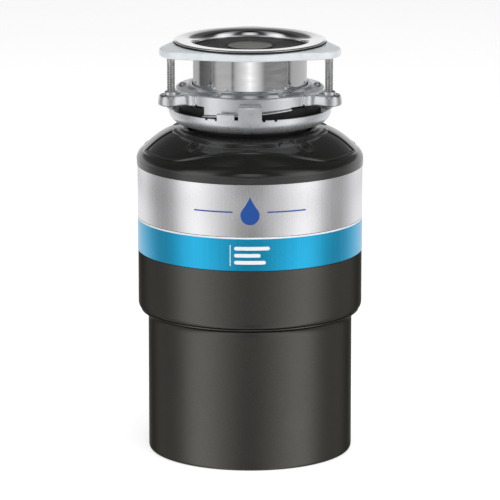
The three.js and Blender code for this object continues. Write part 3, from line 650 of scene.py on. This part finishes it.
def container_cover():
    """The domed cover, turned from its profile with the relief pushed out along the skin's normals."""
    rise = cover_bottom
    mouth_r = 49.5
    wall_r = cover_r - 2.6
    path = [(cover_r, rise), (cover_r, rise + 2.4), (cover_r, rise + 4.4)]
    path += arc_curve((cover_r, rise + 5), (cover_r - 0.3, rise + 8.6), (cover_r - 4.4, rise + 11.6), 14)
    path += arc_curve((cover_r - 5.2, rise + 12.2), (72.2, rise + 22.6), (60.5, rise + 27.3), 100)
    path += arc_curve((60, rise + 27.5), (55, rise + 28.8), (mouth_r, cover_top), 8)
    path = np.array(path)
    steps = 900
    degrees = np.linspace(-180, 180, steps, endpoint=False)
    along = np.gradient(path, axis=0)
    normal = np.stack([along[:, 1], -along[:, 0]], axis=1)
    normal /= np.linalg.norm(normal, axis=1)[:, None]
    angle, r = np.meshgrid(degrees, path[:, 0], indexing="ij")
    relief = cover_relief(angle, r) * smooth_step((path[:, 1] - rise - 5) / 3)[None, :]
    relief *= smooth_step((r - 52) / 2)
    outer_r = r + normal[None, :, 0] * relief
    outer_z = path[None, :, 1] + normal[None, :, 1] * relief
    inside = [(mouth_r, cover_top - 3), (60, rise + 24), (72, rise + 17.5), (82.5, rise + 8),
              (wall_r, rise + 4), (wall_r, rise)]
    all_r = np.concatenate([outer_r, np.tile([p[0] for p in inside], (steps, 1))], axis=1)
    all_z = np.concatenate([outer_z, np.tile([p[1] for p in inside], (steps, 1))], axis=1)
    turn = np.radians(degrees)[:, None]
    vertices = np.stack([all_r * np.sin(turn), -all_r * np.cos(turn), all_z], axis=-1)
    obj = make("cover_skin", vertices.reshape(-1, 3), grid_faces(steps, all_r.shape[1], True, True), 50)
    finish_piece(obj, "disposer", "cover_gloss", "container_cover")

    def on_slope(across, up, outside):
        """Places the embossed drop's points on the cover's front slope, below the outer bead."""
        outward, upward = 0.69, 0.72     # the slope's normal there
        r = 79.6 - upward * up
        lift = 0.5 if outside else -0.3
        z = np.interp(r, path[::-1, 0], path[::-1, 1])
        turn = across / r
        r += lift * outward
        return r * math.sin(turn), -r * math.cos(turn), z + lift * upward

    mark("embossed_drop", drop_rows(3.3, 6.6), on_slope, "cover_gloss", "container_cover")


# ---- hopper, outlet and rubber seat ------------------------------------------------------------
def hopper_skin():
    """The grind container with its neck, and the dishwasher inlet at the back."""
    low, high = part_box("hopper")
    bottom, top, inlet_end = low.z / MM, high.z / MM, high.y / MM
    neck = NECK_R + 3
    outline = [(64, bottom), (75.5, bottom), (75.5, bottom + 4), (66.6, bottom + 4)]
    outline += arc_curve((66.6, 224), (66.6, 240), (neck, 248), 12)
    outline += rounded([(neck, top - 2), (51.5, top - 2, 0.5), (51.5, top, 0.5), (NECK_R, top, 0.6)])
    outline += arc_curve((NECK_R, 245.5), (64, 238), (64, 223), 12)
    finish_piece(turned("hopper_skin", outline, PLAIN_ROUND), "disposer", "black_plastic", "hopper")
    outer, bore = 11, 8
    blind = 70                       # the inlet is closed here until a hose is fitted
    # the points short of the mouth keep the wall's shading level
    outline = rounded([(0, 60), (outer, 60), (outer, 84.4), (outer, 85.2), (outer, inlet_end, 0.7),
                       (bore, inlet_end, 0.5), (bore, blind), (0, blind)])
    pipe = turned("dishwasher_inlet_pipe", outline, 64)
    lay_along_y(pipe, INLET_HEIGHT)
    finish_piece(pipe, "disposer", "black_plastic", "hopper")


def outlet_skin():
    """The drain chamber's bowl and its outlet, which shows at the back."""
    low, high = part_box("drain_chamber")
    bottom, top, end = low.z / MM, high.z / MM, high.y / MM
    shaft_hole, inner, outer = 17.4, 73, 76
    plate_low, plate_high = 118, 121.5
    outline = [(shaft_hole, plate_low), (inner, plate_low), (inner, bottom), (outer, bottom), (outer, top),
               (66, top), (66, top - 3), (inner, top - 3), (inner, plate_high), (shaft_hole, plate_high)]
    bowl = turned("drain_bowl", outline, PLAIN_ROUND)
    bore = turned("outlet_bore", [(0, 40), (OUTLET_BORE_R, 40), (OUTLET_BORE_R, 100), (0, 100)], 64)
    lay_along_y(bore, OUTLET_HEIGHT)
    cut_away(bowl, bore)
    crease(bowl)
    finish_piece(bowl, "disposer", "black_plastic", "drain_chamber")
    pipe_r, root = 20, 72
    pipe = turned("outlet_pipe", rounded([(OUTLET_BORE_R, root), (pipe_r, root), (pipe_r, end, 0.8),
                                          (OUTLET_BORE_R, end, 0.5)]), 96)
    lay_along_y(pipe, OUTLET_HEIGHT)
    finish_piece(pipe, "disposer", "black_plastic", "drain_chamber")


def rubber_seat():
    """The mounting gasket, whose floor is the splash baffle: a hole and slits that leave flaps."""
    floor_low = seat_bottom
    floor_high = seat_bottom + 2
    hole_r = 13
    lip = tube_bottom - 0.3
    gutter = floor_low + 2.8
    outline = rounded([(hole_r, floor_low, 0.4), (seat_r, floor_low, 1), (seat_r, seat_top, 0.7),
                       (seat_r - 2.6, seat_top, 0.7), (51.8, gutter, 0.8), (50, gutter, 0.8),
                       (48.5, lip, 0.8), (41.5, lip, 0.8), (40.5, floor_high, 0.8),
                       (hole_r, floor_high, 0.4)])
    seat = turned("rubber_seat", outline, PLAIN_ROUND)
    half, start, end = 0.7, -39, -11
    flaps = 8
    slits = []
    for i in range(flaps):
        slit = prism("slit", [(-half, start), (half, start), (half, end), (-half, end)],
                     floor_low - 3, floor_low + 6)
        slits.append(spin(slit, (i + 0.5) * 360 / flaps))
        discard(slit)
    cut_away(seat, merged("slits", slits))
    crease(seat)
    finish_piece(seat, "disposer", "black_rubber", "mounting_gasket")


# ---- sink mount --------------------------------------------------------------------------------
def lower_mounting_ring():
    """The lower ring: a notched cup with a hooked tab and a low ear in each third."""
    wall = 1.8
    rim = cup_bottom + 12.1
    mouth_r = 47.2
    outline = [(mouth_r, cup_bottom)]
    outline += arc_curve((52, cup_bottom), (60.8, cup_bottom + 1.6), (cup_r, cup_bottom + 9), 16)
    outline += [(cup_r, rim), (cup_r - wall, rim)]
    outline += arc_curve((cup_r - wall, cup_bottom + 9), (59.4, cup_bottom + 3.2),
                         (52, cup_bottom + wall), 14)
    outline += [(mouth_r, cup_bottom + wall)]
    cup = turned("cup", outline, 180)
    notch_r = 1.5
    notch = [(0, rim - 1.2), (notch_r, rim - 1.2), (notch_r, rim + 3), (0, rim + 3)]
    notches = []
    for turn in THIRDS:
        for angle in (-32, -24.2, 9.8, 18.3):
            notches.append(turned("notch", notch, 16, on_circle(cup_r - 1, angle + turn)))
    cut_away(cup, merged("notches", notches))
    tab_width = 17.8
    half_tab = math.degrees(tab_width / 2 / cup_r)
    low = cup_bottom + 8
    inner = cup_r - wall
    grip = RING_R + 0.9
    lip_low, lip_high = 274.6, 276.4         # the inward lip that carries a ramp
    proud = 0.35
    face = arc_curve((60.4, cup_bottom + 4.2), (cup_r, cup_bottom + 6), (cup_r + proud, cup_bottom + 10), 6)
    hook = [(inner, low - 2), *face, (cup_r + proud, tab_top - 2.4), (cup_r - 0.4, tab_top - 0.9),
            (cup_r - 1.6, tab_top), (grip, tab_top), (grip, tab_top - 1.5), (inner - 0.2, tab_top - 1.5),
            (inner, 277.9), (inner, lip_high), (grip, lip_high - 0.2), (grip, lip_low + 0.2),
            (inner, lip_low)]
    ear_top = 273.3
    ear = [(inner, low), (cup_r, low), (cup_r, ear_top - 0.8), (cup_r - 0.7, ear_top), (inner, ear_top)]
    parts = [cup]
    for turn in THIRDS:
        parts.append(arc_piece("tab", hook, turn - half_tab, turn + half_tab, 12))
        parts.append(arc_piece("ear", ear, turn - 23.7, turn - 11, 10))
    ring = merged("turn_ring", parts)
    crease(ring)
    finish_piece(ring, "lower_ring", "plated_steel", "lower_mounting_ring")


def lug_outline(inset):
    """A lug with a half-round end that reaches out along -Y, its edge moved in by the inset."""
    r = 10 - inset
    side = 16 - inset
    root, straight = -50, -56
    points = [(-side, root), (-side, straight)]
    points += arc_curve((-side, -57.5), (-r, -59), (-r, -63), 6)
    for t in np.linspace(math.pi, 2 * math.pi, 32)[1:-1]:
        points.append((r * math.cos(t), -SCREW_CIRCLE_R + r * math.sin(t)))
    points += arc_curve((r, -63), (r, -59), (side, -57.5), 6)
    return points + [(side, straight), (side, root)]


def lofted(name, loops):
    """A closed skin through level outlines, each given as (points, height)."""
    count = len(loops[0][0])
    vertices = [(x, y, z) for points, z in loops for x, y in points]
    faces = grid_faces(len(loops), count, False, True)
    faces += [tuple(range(count)), tuple(range((len(loops) - 1) * count, len(loops) * count))]
    return make(name, vertices, faces)


def lug():
    """A drafted lug with rounded edges, hollow underneath, its top sunk inside a thin lip."""
    low, high = RING_LOW, RING_HIGH
    shape = ((1.5, 0), (0.5, 0.4), (0, 1.3), (0.1, 2.6), (0.6, 6.6), (1.0, 7.7), (1.6, 8.4), (2.4, 8.6))
    body = lofted("lug", [(lug_outline(inset), low + up) for inset, up in shape])
    cut_away(body, prism("hollow", lug_outline(2.6), low - 3, high - 2.6))
    groove = [(0, high - 0.8), (7.3, high - 0.8), (7.6, high + 2), (0, high + 2)]
    cut_away(body, turned("sunk_top", groove, 48, (0, -SCREW_CIRCLE_R)))
    core_r, core_top = RING_R - RING_WALL, high - 2.8
    cut_away(body, turned("core", [(0, 270), (core_r, 270), (core_r, core_top), (0, core_top)], 180))
    return body


def mounting_ring():
    """The cast mounting ring: collar, ramps, lugs with thread bosses, and rivets, fused into one skin."""
    inner = RING_R - RING_WALL
    collar = turned("collar", rounded([(44.5, 283), (46, 283), (inner, 281.8), (inner, RING_LOW),
                                       (RING_R, RING_LOW, 0.6), (RING_R, RING_HIGH, 1.3), (50.2, 285.4, 1.5),
                                       (47.2, ring_head - 0.2, 0.7), (44.5, ring_head - 0.2)]), 180)
    parts = [collar]
    track = [(inner, 0), (RAMP_R - 0.3, 0), (RAMP_R, 0.3), (RAMP_R, 1.2), (RAMP_R - 0.3, 1.5), (RING_R, 1.6),
             (RING_R, 9), (inner, 9)]
    track_foot, track_rise = 268.2, 5.8
    track = [(r, z + track_foot) for r, z in track]
    third_lug = lug()
    dome = [(0, 283), (3.1, 283), (3.1, 285.5), (2.6, 286.5), (1.5, 287.05), (0, 287.2)]
    boss = [(0, RING_LOW), (5.2, RING_LOW), (5.2, RING_HIGH + 1.6), (4.6, RING_HIGH + 2.5),
            (0, RING_HIGH + 2.6)]
    for turn in THIRDS:
        parts.append(arc_piece("ramp", track, turn - 38, turn + 33, 40, track_rise))
        parts.append(spin(third_lug, turn + 60))
        parts.append(turned("boss", boss, 40, on_circle(SCREW_CIRCLE_R, turn + 60)))
        for side in (-28, 28):
            parts.append(turned("rivet", dome, 24, on_circle(51.6, turn + side)))
    discard(third_lug)
    ring = merged("mount_casting", parts)
    cast(ring, 0.4, 12)
    hole_r = SCREW_R + 0.35
    hole = [(0, 265), (hole_r, 265), (hole_r, 295), (0, 295)]
    holes = [turned("hole", hole, 32, on_circle(SCREW_CIRCLE_R, turn + 60)) for turn in THIRDS]
    cut_away(ring, merged("holes", holes))
    crease(ring, 50)
    finish_piece(ring, "mount", "cast_metal", "mounting_ring")


def sink_flange():
    """The drawn sink flange; extra points hold the tube's wall upright, so it mirrors cleanly."""
    inner = TUBE_R - 1.25
    under = flange_top - 0.9
    outline = rounded([(inner, tube_bottom, 0.3), (TUBE_R, tube_bottom, 0.3), (TUBE_R, 270), (TUBE_R, 312)])
    outline += arc_curve((TUBE_R, 313), (44.2, 318.4), (49.6, under), 16)
    outline += rounded([(50, under), (flange_r, under, 0.15), (flange_r, flange_top - 0.45, 0.2),
                        (flange_r - 1.6, flange_top, 1.0), (48.6, flange_top - 0.2)], 6)
    outline += arc_curve((47.6, flange_top - 0.3), (44.6, flange_top - 0.9), (43.75, 316.2), 14)
    outline += arc_curve((43.65, 315.4), (43.5, 312), (inner, 307), 8)
    finish_piece(turned("flange_skin", outline, 288, sharp=45), "mount", "flange_steel", "sink_flange")


def backup_radius(angle, inset):
    """From the axis to the ring's edge: three broad ears, straight sides and a core circle."""
    core, ear, reach = 58 - inset, 23 - inset, 53
    off = radians(abs(angle % 120 - 60))
    tangent = math.acos((core - ear) / reach)
    meets = math.atan2(ear * math.sin(tangent), reach + ear * math.cos(tangent))
    if off < meets:
        return reach * math.cos(off) + math.sqrt(ear ** 2 - (reach * math.sin(off)) ** 2)
    return core / math.cos(min(off - tangent, 0))


def backup_ring():
    """The backup ring: its outline with rounded edges, closed through the hole."""
    low, high, edge = backup_bottom, backup_top, 1.3
    angles = range(360)
    loops = []
    for t in np.linspace(0, math.pi / 2, 6):
        loops.append((edge * (1 - math.sin(t)), low + edge * (1 - math.cos(t))))
    for t in np.linspace(0, math.pi / 2, 6):
        loops.append((edge * (1 - math.cos(t)), high - edge * (1 - math.sin(t))))
    vertices = [(*on_circle(backup_radius(a, inset), a), z) for inset, z in loops for a in angles]
    hole = ((49.6, high), (49, high - 0.6), (48.8, high - 1.2), (48.8, low + 0.8), (49.4, low))
    vertices += [(*on_circle(r, a), z) for r, z in hole for a in angles]
    obj = make("backup_plate", vertices, grid_faces(len(loops) + len(hole), len(angles), True, True))
    finish_piece(obj, "backup", "coated_metal", "backup_ring")


def sink_gasket():
    """The black gasket that shows as a line under the flange."""
    hole_r = 50.4
    outline = rounded([(hole_r, gasket_bottom, 0.3), (gasket_r, gasket_bottom, 0.5),
                       (gasket_r, gasket_top, 0.5), (hole_r, gasket_top, 0.3)])
    finish_piece(turned("gasket_ring", outline), "backup", "black_rubber", "sink_gasket")


def clamp_screw(side, degrees):
    """A screw with a helical thread, a plain tip and a slotted foot."""
    low, high = (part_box(f"clamp_screw_{side}")[i].z / MM for i in (0, 1))
    centre = on_circle(SCREW_CIRCLE_R, degrees)
    per_turn = 32
    heights = np.arange(low + 0.6, high - 1.4, SCREW_PITCH / 10)
    angles = np.linspace(0, 2 * math.pi, per_turn, endpoint=False)
    z, a = np.meshgrid(heights, angles, indexing="ij")
    phase = (z / SCREW_PITCH - a / (2 * math.pi)) % 1.0
    depth = 0.34 * np.clip(1.25 - 2.5 * np.abs(phase - 0.5), 0, 1)
    fade = smooth_step((z - low - 0.8) / 1.2) * smooth_step((high - 1.6 - z) / 1.2)
    r = SCREW_R - depth * fade
    thread = np.stack([r * np.sin(a), -r * np.cos(a), z], axis=-1)
    foot = [(0.01, low), (SCREW_R - 0.6, low), (SCREW_R - 0.1, low + 0.45)]
    tip = [(SCREW_R - 0.1, high - 1.2), (SCREW_R - 1, high - 0.2), (SCREW_R - 1.3, high), (0.01, high)]
    ring = np.stack([np.sin(angles), -np.cos(angles)], axis=-1)

    def level_loops(outline):
        return np.array([[(radius * x, radius * y, height) for x, y in ring] for radius, height in outline])

    grid = np.concatenate([level_loops(foot), thread, level_loops(tip)], axis=0)
    grid[..., 0] += centre[0]
    grid[..., 1] += centre[1]
    faces = grid_faces(grid.shape[0], per_turn, False, True)
    faces.append(tuple(range(per_turn)))
    faces.append(tuple(range((grid.shape[0] - 1) * per_turn, grid.shape[0] * per_turn)))
    screw = make(f"threaded_screw_{side}", grid.reshape(-1, 3), faces, 30)
    left, right = centre[0] - 0.5, centre[0] + 0.5
    near, far = centre[1] - 5, centre[1] + 5
    slot = prism("slot", [(left, near), (right, near), (right, far), (left, far)], low - 1, low + 1.5)
    cut_away(screw, slot)
    crease(screw, 30)
    finish_piece(screw, f"screw_{side}", "screw_steel", f"clamp_screw_{side}")


def stopper():
    """The rubber stopper, grooved near its edge, with its knob held in the middle."""
    hole_r, stem_r = 5.4, 5
    low, high = stopper_bottom, stopper_top
    outline = rounded([(hole_r, low), (stopper_r - 4, low, 1), (stopper_r - 1.1, low + 2, 1),
                       (stopper_r, high - 1.1, 0.5), (stopper_r - 0.4, high, 0.4), (40.6, high, 0.3),
                       (40.3, high - 0.4, 0.2), (39.7, high - 0.4, 0.2), (39.4, high, 0.3), (20.4, high, 0.4),
                       (20, high - 0.5, 0.3), (hole_r, high - 0.5)])
    finish_piece(turned("stopper_plate", outline, 192), "stopper", "stopper_rubber", "stopper_disc")
    rim = knob_top - 0.9
    outline = rounded([(0, knob_bottom), (stem_r, knob_bottom, 0.4), (stem_r, rim), (knob_r - 0.3, rim, 0.2),
                       (knob_r, knob_top, 0.5), (knob_r - 1.8, knob_top, 0.3),
                       (knob_r - 2.2, knob_top - 0.2, 0.2), (0, knob_top - 0.2)])
    finish_piece(turned("stopper_button", outline, 128), "stopper", "knob_grey", "stopper_knob")


# ---- studio ------------------------------------------------------------------------------------
def camera():
    """A long lens in front, 3.2 metres away, that looks 12.4 degrees down."""
    tilt = radians(12.4)
    distance = 3.2
    below_middle = 0.0049
    aim = (cad_low.z + cad_high.z) / 2 - below_middle
    data = bpy.data.cameras.new("camera")
    data.lens = 298
    data.clip_end = 200
    obj = bpy.data.objects.new("camera", data)
    obj.location = (0, -distance * math.cos(tilt), aim + distance * math.sin(tilt))
    obj.rotation_euler = (math.pi / 2 - tilt, 0, 0)
    bpy.context.scene.collection.objects.link(obj)
    bpy.context.scene.camera = obj


def studio_world():
    """Dim straight ahead, soft boxes at both front corners, dark gaps at the sides, light behind."""
    world = bpy.data.worlds.new("studio")
    world.use_nodes = True
    bpy.context.scene.world = world
    tree = world.node_tree
    background = tree.nodes["Background"]
    background.inputs["Strength"].default_value = 1.0
    place = tree.nodes.new("ShaderNodeTexCoord")
    split = tree.nodes.new("ShaderNodeSeparateXYZ")
    tree.links.new(place.outputs["Generated"], split.inputs[0])

    def maths(operation, *inputs):
        node = tree.nodes.new("ShaderNodeMath")
        node.operation = operation
        for socket, value in zip(node.inputs, inputs):
            if isinstance(value, (int, float)):
                socket.default_value = value
            else:
                tree.links.new(value, socket)
        return node.outputs[0]

    def ramp(source, stops):
        node = tree.nodes.new("ShaderNodeValToRGB")
        elements = node.color_ramp.elements
        for position, _ in stops[1:-1]:
            elements.new(position)
        for element, (_, value) in zip(elements, stops):
            element.color = (value, value, value, 1)
        tree.links.new(source, node.inputs["Fac"])
        return node.outputs["Color"]

    def mixed(blend, factor, first, second):
        node = tree.nodes.new("ShaderNodeMix")
        node.data_type = "RGBA"
        node.blend_type = blend
        for socket, value in ((node.inputs[0], factor), (node.inputs[6], first), (node.inputs[7], second)):
            if isinstance(value, (float, tuple)):
                socket.default_value = value
            else:
                tree.links.new(value, socket)
        return node.outputs[2]

    front = maths("MULTIPLY", split.outputs["Y"], -1.0)
    azimuth = maths("ARCTAN2", split.outputs["X"], front)
    turn = maths("DIVIDE", maths("ABSOLUTE", azimuth), math.pi)
    around = ramp(turn, [(0.0, 0.25), (0.05, 0.3), (0.15, 0.65), (0.25, 1.0), (0.32, 1.25), (0.4, 1.05),
                         (0.45, 0.6), (0.5, 0.35), (0.6, 0.35), (0.65, 0.55), (0.75, 0.9), (1.0, 1.0)])
    height = maths("MULTIPLY_ADD", split.outputs["Z"], 0.5, 0.5)
    low = ramp(height, [(0.0, 0.80), (0.3, 0.95), (0.585, 1.0), (0.63, 0.26), (0.72, 0.13), (1.0, 0.07)])
    tall = ramp(height, [(0.0, 0.80), (0.3, 0.95), (0.74, 1.0), (0.84, 0.5), (1.0, 0.07)])
    boxes = ramp(turn, [(0.0, 0.0), (0.17, 0.0), (0.24, 1.0), (0.38, 1.0), (0.46, 0.0), (1.0, 0.0)])
    upward = mixed("MIX", boxes, low, tall)
    light = mixed("MULTIPLY", 1.0, around, upward)
    # a low shelf that mostly the polished tube mirrors: a lamp ahead, dark flags and grey cards
    strips = [(-180, 0.5), (-130, 0.5), (-120, 0.1), (-80, 0.2), (-70, 0.5), (-40, 0.5), (-35, 0.2),
              (-30, 0.5), (-10, 1.0), (0, 1.4), (10, 1.0), (30, 0.25), (85, 0.25), (95, 0.5), (180, 0.7)]
    shelf_height, shelf_half = -0.173, 0.017     # as the upward part of a direction
    full_turn = maths("MULTIPLY_ADD", azimuth, 0.5 / math.pi, 0.5)
    shelf = ramp(full_turn, [(degrees / 360 + 0.5, value) for degrees, value in strips])
    light = mixed("MIX", maths("COMPARE", split.outputs["Z"], shelf_height, shelf_half), light, shelf)
    # a small lamp above the front, which shows in the flange's throat
    ahead = ramp(turn, [(0.0, 1.0), (0.05, 0.8), (0.11, 0.0), (1.0, 0.0)])
    raised = ramp(height, [(0.0, 0.0), (0.63, 0.0), (0.68, 1.0), (0.84, 1.0), (0.9, 0.0), (1.0, 0.0)])
    light = mixed("MIX", maths("MULTIPLY", ahead, raised), light, (0.95, 0.95, 0.95, 1))
    seen = tree.nodes.new("ShaderNodeLightPath").outputs["Is Camera Ray"]
    tree.links.new(mixed("MIX", seen, light, (0.97, 0.97, 0.97, 1)), background.inputs["Color"])


def floor():
    """A pale floor under the object, which polished metal doesn't mirror."""
    look = Nodes("floor_paint", (0.82, 0.82, 0.82), 0.9, 0.0)
    look.put("Emission Color", (1, 1, 1, 1))
    look.put("Emission Strength", 0.62)
    look.vary("Base Color", 3, 3, (0.81, 0.81, 0.81), (0.83, 0.83, 0.83))
    half = 60
    mesh = bpy.data.meshes.new("floor")
    corners = [(-half, -half, 0), (half, -half, 0), (half, half, 0), (-half, half, 0)]
    mesh.from_pydata(corners, [], [(0, 1, 2, 3)])
    mesh.materials.append(look.material)
    obj = bpy.data.objects.new("floor", mesh)
    bpy.context.scene.collection.objects.link(obj)
    obj.visible_glossy = False


def soft_light(name, azimuth, elevation, distance, size, power):
    """A soft lamp that lights matt surfaces and stays out of reflections."""
    data = bpy.data.lights.new(name, "AREA")
    data.shape = "SQUARE"
    data.size = size
    data.energy = power
    obj = bpy.data.objects.new(name, data)
    x, y = on_circle(distance * math.cos(radians(elevation)), azimuth)
    obj.location = (x, y, 0.16 + distance * math.sin(radians(elevation)))
    obj.rotation_euler = (math.pi / 2 - radians(elevation), 0, radians(azimuth))
    obj.visible_glossy = False
    bpy.context.scene.collection.objects.link(obj)


WHITE_PRINT = white_line_print()

camera()
studio_world()
floor()
soft_light("overhead", 0, 88, 2.2, 2.0, 26)
soft_light("fill", 20, 40, 2.6, 1.6, 16)
bpy.context.scene.view_settings.view_transform = "Standard"

dress_frame()
motor_housing()
upper_shell()
bands()
generic_prints()
container_cover()
hopper_skin()
outlet_skin()
rubber_seat()
lower_mounting_ring()
mounting_ring()
sink_flange()
backup_ring()
sink_gasket()
for screw_side, screw_angle in (("left", -60), ("right", 60), ("rear", 180)):
    clamp_screw(screw_side, screw_angle)
stopper()
